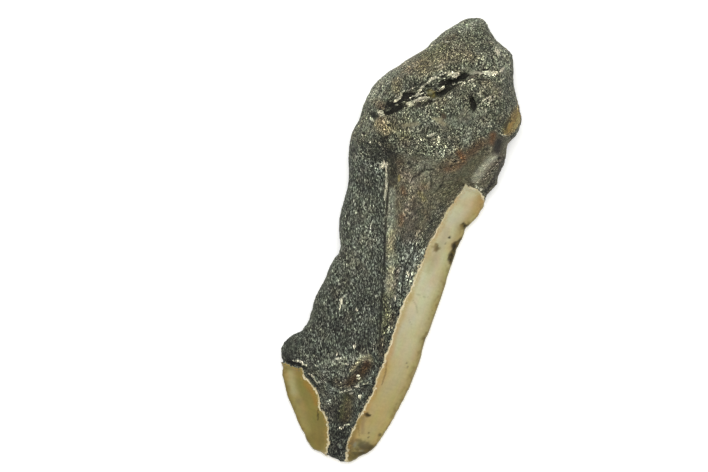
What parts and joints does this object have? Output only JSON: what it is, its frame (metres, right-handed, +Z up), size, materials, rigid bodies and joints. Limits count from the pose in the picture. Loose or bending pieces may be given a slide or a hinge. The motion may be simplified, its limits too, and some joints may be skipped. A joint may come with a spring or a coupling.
{
  "type": "fossil megalodon tooth",
  "caption": "Broken and worn fossil shark tooth of dark speckled dentine with strips of cream enamel, lying on its flat labial side.",
  "frame": {"origin": "middle of the tooth's bounding box, in the plane that its flat labial side rests on", "axes": "+Y from the worn tip to the root, +X towards the cutting edge that is left, +Z up out of the domed lingual side"},
  "size_m": [0.0406, 0.1206, 0.0254],
  "materials": {
    "fossil_tooth": "dull dark grey dentine speckled light and brown, with smooth cream-olive enamel on the cutting edges"
  },
  "bodies": {
    "root": {"tooth": "fossil_tooth"}
  },
  "joints": []
}
